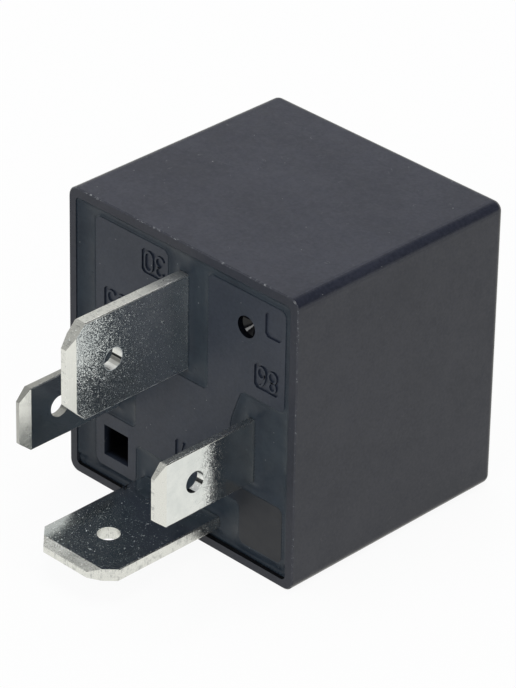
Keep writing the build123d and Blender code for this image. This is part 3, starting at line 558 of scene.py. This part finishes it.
def braided_copper(name):
    """Bare copper braid: two crossing sets of strands."""
    paint = Paint(name)
    strands = [
        paint.wave(1.1, 0.6, paint.stretched(1.0, slope, slope), bands_direction="DIAGONAL")
        for slope in (1.0, -1.0)
    ]
    weave = paint.most(*(wave.outputs["Fac"] for wave in strands))
    tone = paint.mix(paint.noise(0.8, 3, 0.6), *COPPER_TONES)
    colour = paint.mix(paint.map(weave, 0.2, 0.8), COPPER_SHADE, tone)
    roughness = paint.map(weave, 0.0, 1.0, 0.48, 0.30)
    return paint.finish(colour, roughness, paint.bump(weave, 0.09), metallic=1.0)


COVER = cover_plastic()
BASE = base_plastic()
SPOOL = Plastic("spool_plastic", SPOOL_TONES, 0.45).moulded(specular=0.4)
RESIN = poured_resin()
TIN_30 = tin(
    "tin_scratched", "X", grain=0.72, scratches=1.0, worked=0.15, haze=0.055, bevel_tone=0.79,
    bend=("Y", RELAY_Y - 13.0, RELAY_Y - 9.4, -0.042, "Z", RELAY_Z + 4.5, RELAY_Z + 9.5),
    hole=HOLE_30, burr_z=BLADE_30_LOW_Z,
    mirrored=((50, 70, 0.9), (-28, -15, 1.0), (-46, -28, 0.65), (-64, -46, 0.35), (-124, -106, 1.0)),
)
TIN_85 = tin(
    "tin_clean", "X", grain=0.06, scratches=0.05, worked=0.08, haze=0.06, cut_tone=0.43,
    bevel_tone=0.96,
)
TIN_86 = tin(
    "tin_grained", "X", grain=0.19, scratches=0.20, worked=0.1, cool=0.0, hole=HOLE_86,
    mirrored=((12, 60, 0.85), (-36, -16, 0.95), (-128, -86, 0.95)),
)
TIN_87 = tin(
    "tin_flat", "Z", grain=0.38, scratches=0.80, worked=1.0, bevel_tone=0.52,
    bend=("X", -LARGE_BLADE_HALF_WIDTH, 0.25, 0.20),
)
ZINC = metal("zinc_steel", ZINC_TONES, 0.34)
IRON = metal("plated_iron", IRON_TONES, 0.30, grain_size=0.15)
BRASS = metal("rivet_brass", BRASS_TONES, 0.30, grain_size=0.12)
BRONZE = metal("spring_bronze", BRONZE_TONES, 0.26, grain_size=0.3, depth=0.004, brushed=(4.0, 0.5, 0.5))
SILVER = metal("contact_silver", SILVER_TONES, 0.24, grain_size=0.10)
WIRE = metal("enamelled_wire", ENAMEL_TONES, 0.28, grain_size=0.4)
COIL = wound_wire("wound_copper", pitch=0.16)
BRAID = braided_copper("copper_braid")

finishes = {
    "cover": COVER, "base_plate": BASE, "sealing_compound": RESIN,
    "terminal_30": TIN_30, "terminal_85": TIN_85, "terminal_86": TIN_86,
    "terminal_87": TIN_87, "backstop": TIN_87,
    "yoke": ZINC, "core": IRON, "armature": IRON, "bobbin": SPOOL,
    "coil_winding": COIL, "coil_lead_85": WIRE, "coil_lead_86": WIRE,
    "yoke_rivets": BRASS, "armature_rivets": BRASS, "contact_spring": BRONZE,
    "moving_contact": SILVER, "fixed_contact": SILVER, "shunt_braid": BRAID,
}
for name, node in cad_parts.items():
    node.data.materials.clear()
    node.data.materials.append(finishes[name])


# Pieces
def add_object(name, data):
    made = bpy.data.objects.new(name, data)
    bpy.context.scene.collection.objects.link(made)
    return made


def add_piece(name, mesh, material):
    mesh.materials.clear()
    mesh.materials.append(material)
    return add_object(name, mesh)


def shape_mesh(name, shape):
    mesh = bpy.data.meshes.new(name)
    shape.to_mesh(mesh)
    shape.free()
    return mesh


# The poured layer, with its creep up the walls, in millimetres
SURFACE_STEP = 0.35
GRID_PITCH = 0.4
GRID_CLEARANCE = 0.7
ROW_DISTANCES = (0.08, 0.18, 0.32, 0.50)
ROW_TOLERANCE = 0.02
LAYER_DEPTH = 0.9
WAVE_HEIGHT = 0.025
WAVE_RATE = 0.4
WAVE_SLICE = 3.1
WAVE_CALM = 0.5
WALL_PROBES = 4
NEAR_PROBES = 24
FAR_AWAY = 9.0
PLATFORM_CREEP = (0.235, 0.75)
LOW_CORNER = (6, RELAY_Z - 4.5)
LOW_CORNER_CREEP = (0.245, 1.4)
COVER_CREEP = (0.52, 1.0)
LOW_WALL_RISE, LOW_WALL_REACH = 0.12, 0.5
LOW_WALL_MIDDLE_X, LOW_WALL_EVEN_HALF, LOW_WALL_RUN = 3.0, 3.0, 7


def pairs(ring):
    return zip(ring, ring[1:] + ring[:1])


def outline_loops(node, level):
    """Closed (x, z) loops, in millimetres, round the face of a node that lies at one y."""
    shape = bmesh.new()
    shape.from_mesh(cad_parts[node].data)
    bmesh.ops.remove_doubles(shape, verts=shape.verts, dist=0.001 * MM)
    front = {
        face for face in shape.faces
        if face.normal.y < -0.99 and abs(face.calc_center_median().y - level * MM) < 0.01 * MM
    }
    follow = {}
    for face in front:
        for loop in face.loops:
            if not any(other in front for other in loop.edge.link_faces if other is not face):
                follow[loop.vert] = loop.link_loop_next.vert
    loops = []
    while follow:
        start, vert = follow.popitem()
        ring = [start]
        while vert is not start:
            ring.append(vert)
            vert = follow.pop(vert)
        loops.append([Vector((v.co.x / MM, v.co.z / MM)) for v in ring])
    shape.free()
    return loops


def divided(ring, step):
    points = []
    for here, there in pairs(ring):
        parts = max(1, math.ceil((there - here).length / step))
        points += [here.lerp(there, part / parts) for part in range(parts)]
    return points


def creep(here, on_cover):
    """How high the resin has crept up a wall at one place, and how far from the wall it starts."""
    if not on_cover:
        in_corner = here.x > LOW_CORNER[0] and here.y < LOW_CORNER[1]
        return LOW_CORNER_CREEP if in_corner else PLATFORM_CREEP
    if here.y < WELL[1] - WELL_ZONE:
        # Along the low wall it stays down, most of all in the middle
        from_middle = (abs(here.x - LOW_WALL_MIDDLE_X) - LOW_WALL_EVEN_HALF) / LOW_WALL_RUN
        return LOW_WALL_RISE + LOW_WALL_RISE * min(1, max(0, from_middle)), LOW_WALL_REACH
    return COVER_CREEP


class Walls:
    """The walls that the resin touches, as pieces of closed loops, and how far it creeps up."""

    def __init__(self, rings):
        edge_x = max(point.x for ring in rings for point in ring)
        self.pieces, self.rises = [], []
        for ring in rings:
            on_cover = max(point.x for point in ring) > edge_x - 0.01
            for here, there in pairs(ring):
                self.pieces.append((here, there))
                self.rises.append(creep(here, on_cover))
        self.tree = KDTree(len(self.pieces) * WALL_PROBES)
        for index, (here, there) in enumerate(self.pieces):
            for part in range(WALL_PROBES):
                spot = here.lerp(there, part / WALL_PROBES)
                self.tree.insert((spot.x, spot.y, 0), index)
        self.tree.balance()

    def effect(self, point):
        """Distance to the nearest wall, and the height of the resin's rise."""
        nearest, rise = FAR_AWAY, 0.0
        for _, index, _ in self.tree.find_n((point.x, point.y, 0), NEAR_PROBES):
            here, there = self.pieces[index]
            _, share = intersect_point_line(point.to_3d(), here.to_3d(), there.to_3d())
            distance = (point - here.lerp(there, min(1, max(0, share)))).length
            nearest = min(nearest, distance)
            high, reach = self.rises[index]
            rise = max(rise, high * max(0.0, 1 - distance / reach) ** 2)
        return nearest, rise

    def distance(self, point):
        return self.effect(point)[0]

    def surround(self, point):
        """Whether the resin covers a place: a line from there crosses an odd count of walls."""
        crossings = 0
        for here, there in self.pieces:
            if (here.y > point.y) != (there.y > point.y):
                x = here.x + (point.y - here.y) * (there.x - here.x) / (there.y - here.y)
                crossings += x > point.x
        return crossings % 2 == 1


def rows_along(walls):
    """Rows of points that follow the walls."""
    rows = []
    for distance in ROW_DISTANCES:
        for here, there in walls.pieces:
            along = (there - here).normalized()
            middle = here.lerp(there, 0.5)
            spot = middle + Vector((along.y, -along.x)) * distance
            for candidate in (spot, middle * 2 - spot):
                off = abs(walls.distance(candidate) - distance)
                if walls.surround(candidate) and off < ROW_TOLERANCE:
                    rows.append(candidate)
    return rows


def loose_grid(walls, points):
    """Staggered points over the open stretches, clear of the walls."""
    low = Vector((min(p.x for p in points), min(p.y for p in points)))
    high = Vector((max(p.x for p in points), max(p.y for p in points)))
    grid = []
    for column in range(math.ceil((high.x - low.x) / GRID_PITCH)):
        for row in range(math.ceil((high.y - low.y) / GRID_PITCH)):
            candidate = low + Vector((column + 0.5 * (row % 2), row)) * GRID_PITCH
            if walls.surround(candidate) and walls.distance(candidate) > GRID_CLEARANCE:
                grid.append(candidate)
    return grid


def surface_y(walls, point):
    distance, rise = walls.effect(point)
    place = Vector((point.x * WAVE_RATE, point.y * WAVE_RATE, WAVE_SLICE))
    return COMPOUND_Y - rise + WAVE_HEIGHT * noise.noise(place) * min(1, distance / WAVE_CALM)


def closed_layer(walls, flat, faces):
    """The surface, a flat back behind it, and sides between their edges."""
    heights = [surface_y(walls, point) for point in flat]
    shape = bmesh.new()
    front = [shape.verts.new(metres(p.x, y, p.y)) for p, y in zip(flat, heights)]
    back = [shape.verts.new(metres(p.x, COMPOUND_Y + LAYER_DEPTH, p.y)) for p in flat]
    for a, b, c in faces:
        if walls.surround((flat[a] + flat[b] + flat[c]) / 3):
            if (flat[b] - flat[a]).cross(flat[c] - flat[a]) < 0:
                b, c = c, b
            shape.faces.new((front[a], front[b], front[c]))
            shape.faces.new((back[a], back[c], back[b]))
    behind = dict(zip(front, back))
    for edge in [e for e in shape.edges if e.is_boundary and all(v in behind for v in e.verts)]:
        loop = edge.link_loops[0]
        first, second = loop.vert, loop.link_loop_next.vert
        shape.faces.new((second, first, behind[first], behind[second]))
    bmesh.ops.delete(shape, geom=[v for v in shape.verts if not v.link_faces], context="VERTS")
    bmesh.ops.recalc_face_normals(shape, faces=shape.faces)
    for face in shape.faces:
        face.smooth = abs(face.normal.y) > 0.2
    return shape


def make_compound_surface():
    """The poured layer: slow waves, and a concave rise along every wall that it touches."""
    rings = [
        divided(ring, SURFACE_STEP) for ring in outline_loops("sealing_compound", COMPOUND_Y)
    ]
    walls = Walls(rings)
    points = [point for ring in rings for point in ring]
    edges = []
    for ring in rings:
        first = len(edges)
        edges += [(first + i, first + (i + 1) % len(ring)) for i in range(len(ring))]
    points += rows_along(walls)
    points += loose_grid(walls, points)
    flat, _, faces, _, _, _ = delaunay_2d_cdt(points, edges, [], 0, 0.0001)
    mesh = shape_mesh("compound_surface", closed_layer(walls, flat, faces))
    piece = add_piece("compound_surface", mesh, RESIN)
    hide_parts("sealing_compound")
    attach(piece, "housing")


def bending_copy(node, name):
    """A copy of a sprung piece, with the node's finish, that takes the node's place."""
    piece = add_piece(name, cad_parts[node].data.copy(), finishes[node])
    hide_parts(node)
    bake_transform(piece)


# Labels: raised digits, all turned half round, that stand in the base's sunk fields
STROKE_WIDTH = 0.22
STROKE_TOP_SHARE = 0.8
DIGIT_PITCH = 1.32


def arc(x, z, radius_x, radius_z, start, end, steps=14):
    points = []
    for step in range(steps + 1):
        angle = math.radians(start + (end - start) * step / steps)
        points.append((x + radius_x * math.cos(angle), z + radius_z * math.sin(angle)))
    return points


DIGITS = {
    "0": [arc(0, 0.42, 0.46, 0.52, 180, 0) + arc(0, -0.42, 0.46, 0.52, 0, -180) + [(-0.46, 0.42)]],
    "3": [arc(-0.04, 0.48, 0.44, 0.46, 165, -90) + arc(-0.04, -0.48, 0.48, 0.50, 90, -165)],
    "5": [[(0.38, 0.95), (-0.34, 0.95), (-0.42, 0.10)] + arc(-0.02, -0.34, 0.46, 0.58, 128, -155)],
    "6": [
        arc(0.0, -0.38, 0.45, 0.56, 0, 360, 22),
        arc(0.28, -0.36, 0.73, 1.30, 180, 96, 10),
    ],
    "7": [[(-0.44, 0.95), (0.46, 0.95), (-0.12, -0.95)]],
    "8": [arc(0, 0.48, 0.40, 0.45, 0, 360, 20), arc(0, -0.46, 0.46, 0.49, 0, 360, 20)],
}


def stroke_section(shape, point, out):
    """Four corners across a stroke: wide on the field's floor, narrower at the top."""
    top = out * STROKE_TOP_SHARE
    corners = (
        (point + out, LABEL_FLOOR_Y), (point + top, PLATFORM_Y),
        (point - top, PLATFORM_Y), (point - out, LABEL_FLOOR_Y),
    )
    return [shape.verts.new(metres(spot.x, y, spot.y)) for spot, y in corners]


def add_stroke(shape, points):
    """Raised line through (x, z) points in millimetres."""
    closed = (points[0] - points[-1]).length < 0.01
    if closed:
        points = points[:-1]
    last = len(points) - 1
    rows = []
    for index, point in enumerate(points):
        before = points[index - 1 if closed else max(0, index - 1)]
        after = points[(index + 1) % len(points) if closed else min(last, index + 1)]
        along = (after - before).normalized()
        rows.append(stroke_section(shape, point, Vector((-along.y, along.x)) * STROKE_WIDTH / 2))
    for here, there in pairs(rows) if closed else zip(rows, rows[1:]):
        for side in range(4):
            following = (side + 1) % 4
            shape.faces.new((here[side], here[following], there[following], there[side]))
    if not closed:
        shape.faces.new(rows[0])
        shape.faces.new(rows[-1])


def make_label(text, x, z):
    shape = bmesh.new()
    for index, digit in enumerate(text):
        shift = (index - (len(text) - 1) / 2) * DIGIT_PITCH
        for stroke in DIGITS[digit]:
            add_stroke(shape, [Vector((x - shift - dx, z + RELAY_Z - dz)) for dx, dz in stroke])
    bmesh.ops.recalc_face_normals(shape, faces=shape.faces)
    name = "label_" + text
    label = add_piece(name, shape_mesh(name, shape), BASE)
    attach(label, "housing")


make_compound_surface()
bending_copy(
    "contact_spring", "contact_leaf",
)
bending_copy(
    "shunt_braid", "flexible_braid",
)
make_label("30", -3.75, 10.65)
make_label("85", -8.5, 4.85)
make_label("86", 10.2, 5.15)
make_label("87", 0.6, -6.8)


# Studio, with its sizes in metres
FLAG_TOWARDS = (0.511, 0.611, 0.604)
FLOOR_HALF_SIZE = 6
FLOOR_WHITE_SHARE = 0.93
LAMPS_AIM = metres(0, 0, 12)


def white_rays(nodes):
    """1 for camera, glossy and transmission rays, 0 for the rays that light the object."""
    rays = nodes.node("ShaderNodeLightPath").outputs
    seen = nodes.most(rays["Is Camera Ray"], rays["Is Glossy Ray"])
    return nodes.most(seen, rays["Is Transmission Ray"])


def reflected_paper(nodes):
    """White as seen by the camera, and slightly warm paper in reflections."""
    rays = nodes.node("ShaderNodeLightPath").outputs
    return nodes.mix(rays["Is Glossy Ray"], WHITE, WARM_PAPER)


def chosen(nodes, share, first, second, output):
    """Mixes two shaders and links them to the output."""
    chooser = nodes.node("ShaderNodeMixShader")
    nodes.link(share, chooser.inputs[0])
    nodes.link(first.outputs[0], chooser.inputs[1])
    nodes.link(second.outputs[0], chooser.inputs[2])
    nodes.link(chooser.outputs[0], nodes.node(output).inputs["Surface"])


def fill_light(nodes, towards):
    """What lights the object: more from above, and a little more from the right."""
    fill = nodes.node("ShaderNodeBackground")
    nodes.feed(FILL_LIGHT, fill.inputs["Color"])
    above = nodes.map(nodes.part(towards, "Z"), 0.0, 0.9, 0.56, 0.73)
    side = nodes.map(nodes.part(towards, "X"), 0.3, 0.9, 0.0, 0.15)
    nodes.link(nodes.add(above, side), fill.inputs["Strength"])
    return fill


def mirrored_room(nodes, towards):
    """White at the horizon, a dimmer ceiling, a dark room behind the lamps and a black flag."""
    height = nodes.part(towards, "Z")
    ceiling = nodes.map(height, 0.15, 0.55, 1.0, 0.62)
    room = nodes.map(nodes.part(towards, "Y"), -0.75, -0.35, 0.25, 1.0)
    shade = nodes.node("ShaderNodeMix")
    nodes.link(nodes.map(height, 0.05, 0.25), shade.inputs["Factor"])
    nodes.feed(1.0, shade.inputs["A"])
    nodes.link(room, shade.inputs["B"])
    # The flag is up on the right, behind the object, and the cover's rounded edge mirrors it
    flag = nodes.vectors("DOT_PRODUCT", towards, FLAG_TOWARDS).outputs["Value"]
    dimmed = nodes.times(shade.outputs["Result"], ceiling)
    return nodes.times(dimmed, nodes.map(flag, 0.74, 0.88, 1.0, 0.03))


def make_world():
    world = bpy.data.worlds.new("studio")
    world.use_nodes = True
    world.node_tree.nodes.clear()
    nodes = Nodes(world.node_tree)
    towards = nodes.node("ShaderNodeTexCoord").outputs["Generated"]
    backdrop = nodes.node("ShaderNodeBackground")
    nodes.link(reflected_paper(nodes), backdrop.inputs["Color"])
    rays = nodes.node("ShaderNodeLightPath").outputs
    strength = nodes.most(rays["Is Camera Ray"], mirrored_room(nodes, towards))
    nodes.link(strength, backdrop.inputs["Strength"])
    fill = fill_light(nodes, towards)
    chosen(nodes, white_rays(nodes), fill, backdrop, "ShaderNodeOutputWorld")
    bpy.context.scene.world = world


def pale_paper():
    """Seen as white paper, with only a little of the shadow that falls on it."""
    material = bpy.data.materials.new("pale_floor")
    material.use_nodes = True
    material.node_tree.nodes.clear()
    nodes = Nodes(material.node_tree)
    paper = nodes.node("ShaderNodeBsdfDiffuse")
    nodes.feed(FLOOR_PAPER, paper.inputs["Color"])
    glow = nodes.node("ShaderNodeEmission")
    nodes.feed(1.0, glow.inputs["Strength"])
    nodes.link(reflected_paper(nodes), glow.inputs["Color"])
    share = nodes.times(white_rays(nodes), FLOOR_WHITE_SHARE)
    chosen(nodes, share, paper, glow, "ShaderNodeOutputMaterial")
    return material


def make_floor():
    shape = bmesh.new()
    bmesh.ops.create_grid(shape, x_segments=1, y_segments=1, size=FLOOR_HALF_SIZE)
    mesh = shape_mesh("floor", shape)
    mesh.materials.append(pale_paper())
    floor = add_object("floor", mesh)


def make_softbox(name, place, size, power):
    light = bpy.data.lights.new(name, "AREA")
    light.size = size
    light.energy = power
    lamp = add_object(name, light)
    lamp.location = place
    lamp.rotation_euler = (LAMPS_AIM - Vector(place)).to_track_quat("-Z", "Y").to_euler()


def make_camera():
    """Placed by the straight edges of the cover and the blades in the photograph."""
    camera = bpy.data.cameras.new("camera")
    camera.lens = 234.2
    camera.sensor_width = 36
    camera.clip_start = 0.01
    camera.clip_end = 30
    right = Vector((0.704618, 0.709406, 0.016034))
    down = Vector((0.372467, -0.350532, -0.859300))
    forward = Vector((-0.603972, 0.611450, -0.511221))
    turn = Matrix((right, -down, -forward)).transposed()
    place = metres(238.7168, -232.0854 + RELAY_Y, 202.6162 + RELAY_Z)
    holder = add_object("camera", camera)
    holder.matrix_world = Matrix.Translation(place) @ turn.to_4x4()
    bpy.context.scene.camera = holder


make_world()
make_floor()
make_softbox("softbox_top", place=(-0.05, 0.10, 0.80), size=0.50, power=3.2)
make_softbox("softbox_front", place=(0.18, -0.62, 0.48), size=0.22, power=1.1)
make_camera()
bpy.context.scene.view_settings.view_transform = "Standard"
